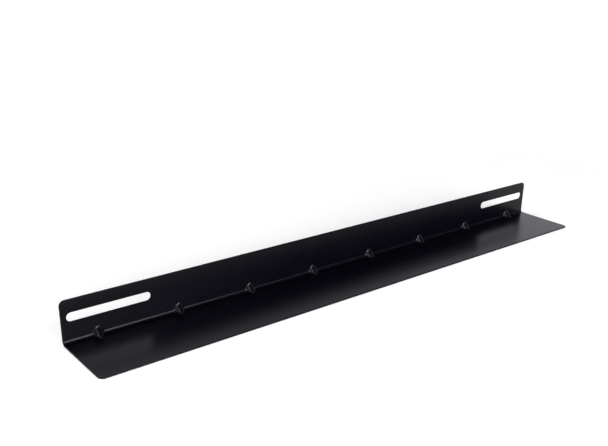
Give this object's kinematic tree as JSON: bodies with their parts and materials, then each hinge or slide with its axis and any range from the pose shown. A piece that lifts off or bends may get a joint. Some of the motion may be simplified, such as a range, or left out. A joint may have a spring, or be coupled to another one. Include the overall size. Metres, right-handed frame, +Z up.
{
  "type": "fixed rack rail",
  "caption": "Folded steel L-shaped support rail for an equipment rack, with long bolt slots in the upright flange and pressed gussets along the bend, black powder coat.",
  "frame": {"origin": "on the underside of the shelf flange, at the middle of the rail's length and depth", "axes": "+X along the rail, +Y out of the mounting face (the outside of the upright flange), +Z up"},
  "size_m": [0.6, 0.07, 0.04],
  "materials": {
    "black_powder_coat": "satin"
  },
  "bodies": {
    "root": {"rack_rail": "black_powder_coat"}
  },
  "joints": []
}
